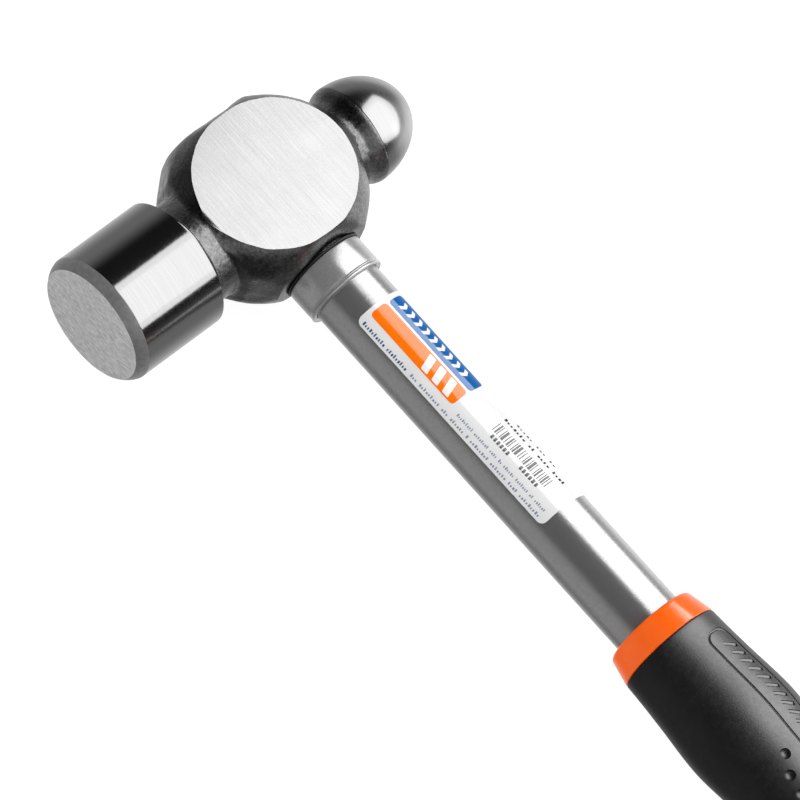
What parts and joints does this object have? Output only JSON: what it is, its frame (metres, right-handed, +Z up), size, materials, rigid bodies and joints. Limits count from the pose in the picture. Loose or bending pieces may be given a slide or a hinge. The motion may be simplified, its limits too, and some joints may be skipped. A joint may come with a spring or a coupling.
{
  "type": "ball peen hammer",
  "caption": "Metalworking hammer with a flat round striking face, a ball peen, flat cheeks, a tubular steel handle and a black rubber grip.",
  "frame": {"origin": "on the floor, in the middle of the footprint of the hammer lying on its cheek side", "axes": "+X along the handle from the head towards the butt, +Y along the head from the striking face towards the ball, +Z up out of the upper cheek"},
  "size_m": [0.35, 0.1156, 0.039],
  "materials": {
    "forged_steel": "dark forged skin; poll, face, cheeks and ball ground and polished bright",
    "tube_steel": "satin nickel",
    "collar_steel": "satin nickel",
    "plug_steel": "turned, slightly dulled",
    "bonding_resin": "set black resin",
    "neck_seal": "matt black",
    "label_film": "white printed film, satin",
    "orange_plastic": "satin moulded plastic",
    "grip_rubber": "matt moulded rubber",
    "plug_plastic": "moulded"
  },
  "bodies": {
    "root": {"hammer_head": "forged_steel", "handle_tube": "tube_steel", "head_collar": "collar_steel", "expander_plug": "plug_steel", "eye_resin": "bonding_resin", "neck_seal": "neck_seal", "label": "label_film", "grip_core": "orange_plastic", "grip_sleeve": "grip_rubber", "butt_plug": "plug_plastic"}
  },
  "joints": []
}
